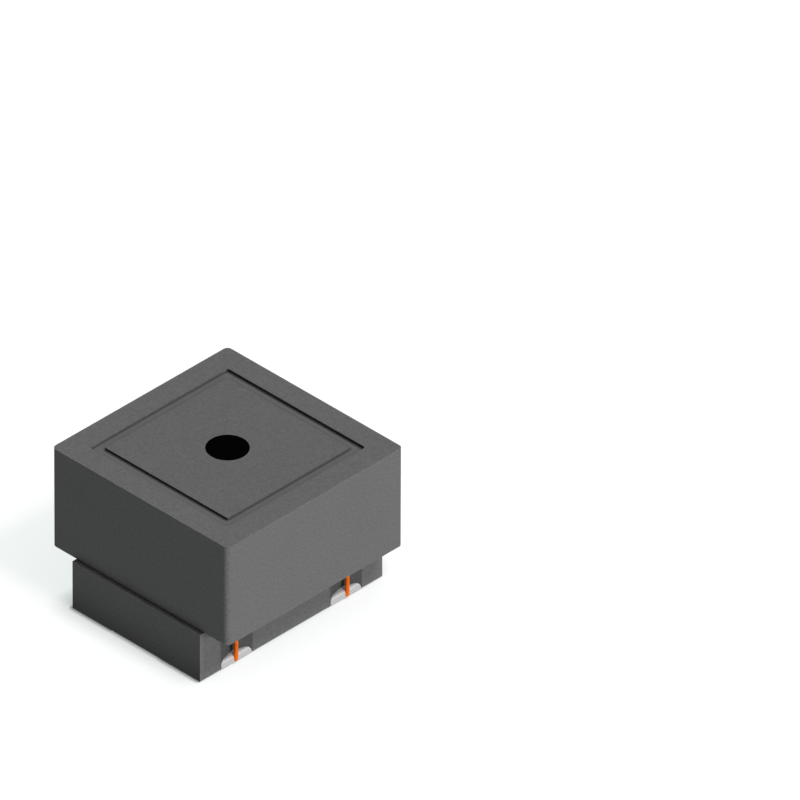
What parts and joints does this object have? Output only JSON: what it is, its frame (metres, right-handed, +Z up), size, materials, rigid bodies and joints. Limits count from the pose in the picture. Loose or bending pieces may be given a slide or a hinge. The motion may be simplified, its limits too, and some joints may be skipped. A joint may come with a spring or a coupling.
{
  "type": "common mode choke",
  "caption": "Surface-mount common mode choke: ferrite drum core in a square shield ring, with two wire windings soldered to corner pads.",
  "frame": {"origin": "middle of the footprint, on the plane that the terminals rest on", "axes": "+Z up, away from the circuit board; +X along the longer side of the base, towards terminals 2 and 3"},
  "size_m": [0.0052, 0.005, 0.0036],
  "materials": {
    "ferrite": "matt, fine-grained",
    "copper_wire": "gloss enamel over copper",
    "adhesive": "matt",
    "tin_plating": "matt",
    "solder": "satin"
  },
  "bodies": {
    "root": {"shield_ring": "ferrite", "drum_core": "ferrite", "winding_1": "copper_wire", "winding_2": "copper_wire", "seat_adhesive": "adhesive", "top_adhesive": "adhesive", "terminal_1": "tin_plating", "terminal_2": "tin_plating", "terminal_3": "tin_plating", "terminal_4": "tin_plating", "solder_joint_1": "solder", "solder_joint_2": "solder", "solder_joint_3": "solder", "solder_joint_4": "solder"}
  },
  "joints": []
}
